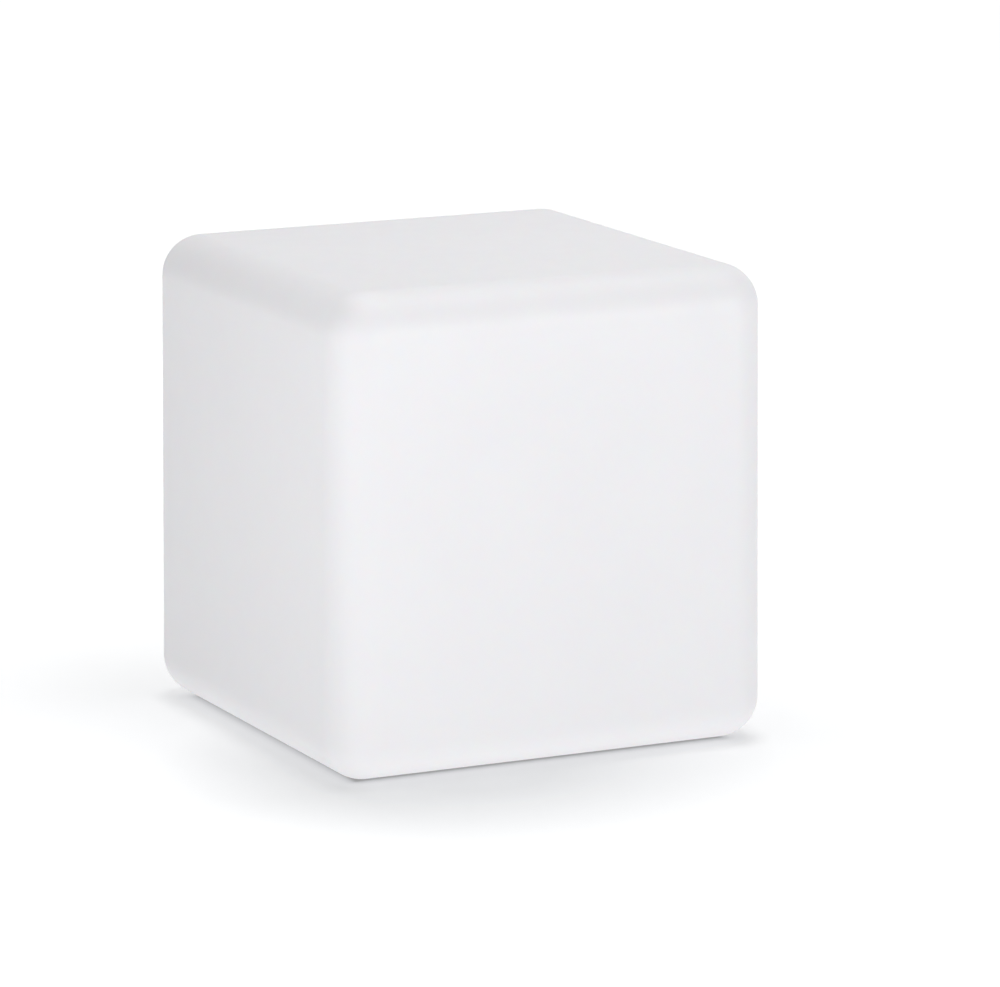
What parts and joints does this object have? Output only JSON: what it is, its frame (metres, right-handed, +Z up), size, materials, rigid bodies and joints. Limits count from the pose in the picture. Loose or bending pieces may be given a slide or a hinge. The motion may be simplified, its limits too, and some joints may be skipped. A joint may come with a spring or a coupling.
{
  "type": "led cube light",
  "caption": "Cordless cube-shaped garden light: a translucent rounded cube on low feet with a lamp module in its underside.",
  "frame": {"origin": "on the floor, under the middle of the cube", "axes": "+Z up; -Y is the front face that the picture shows broadest, -X the face to its left"},
  "size_m": [0.2996, 0.2996, 0.3055],
  "materials": {
    "shell_plastic": "translucent natural white polyethylene, satin, one-piece moulding",
    "base_plastic": "white moulded plastic, fine spark texture",
    "inner_plastic": "plain white moulded plastic",
    "opal_plastic": "opal diffuser, satin",
    "rubber": "dark grey rubber",
    "button_rubber": "light grey silicone",
    "foam": "black closed-cell foam",
    "steel": "stainless",
    "brass": "turned brass",
    "nickel": "nickel strip",
    "clear_plastic": "clear light pipe",
    "black_plastic": "black moulded plastic",
    "circuit_board": "green solder mask",
    "led_board": "white solder mask on aluminium",
    "led_chip": "LED chips with phosphor",
    "cell_wrap": "blue shrink wrap",
    "lead_sheath": "black lead sheath"
  },
  "bodies": {
    "root": {"cube_shell": "shell_plastic", "cube_floor": "shell_plastic", "rubber_feet": "rubber", "insert_nuts": "brass", "module_gasket": "foam", "module_base": "base_plastic", "module_screws": "steel", "tact_switch": "black_plastic", "cover_anchor": "button_rubber", "charging_jack": "black_plastic", "charge_light_pipe": "clear_plastic", "vent_plug": "black_plastic", "control_board": "circuit_board", "control_parts": "black_plastic", "board_screws": "steel", "battery_cradle": "foam", "battery_cells": "cell_wrap", "battery_tabs": "nickel", "battery_clamp": "inner_plastic", "clamp_screws": "steel", "battery_lead": "lead_sheath", "tray_seal": "foam", "led_tray": "inner_plastic", "tray_screws": "steel", "led_board": "led_board", "led_chips": "led_chip", "led_plug": "inner_plastic", "led_board_screws": "steel", "led_lead": "lead_sheath", "diffuser_dome": "opal_plastic"},
    "button": {"power_button": "button_rubber", "button_seal": "rubber", "switch_plunger": "black_plastic"},
    "port_cover": {"charge_port_cover": "button_rubber"}
  },
  "joints": [
    {"name": "button_press", "type": "slide", "parent": "root", "child": "button", "axis": [0, 0, 1], "range_m": [0, 0.001], "stiffness_N_per_m": 2500, "springref_m": -0.0002},
    {"name": "cover_swing", "type": "hinge", "parent": "root", "child": "port_cover", "pos_m": [0.014, 0.038, 0.0025], "axis": [1, 0, 0], "range_deg": [0, 110]}
  ]
}
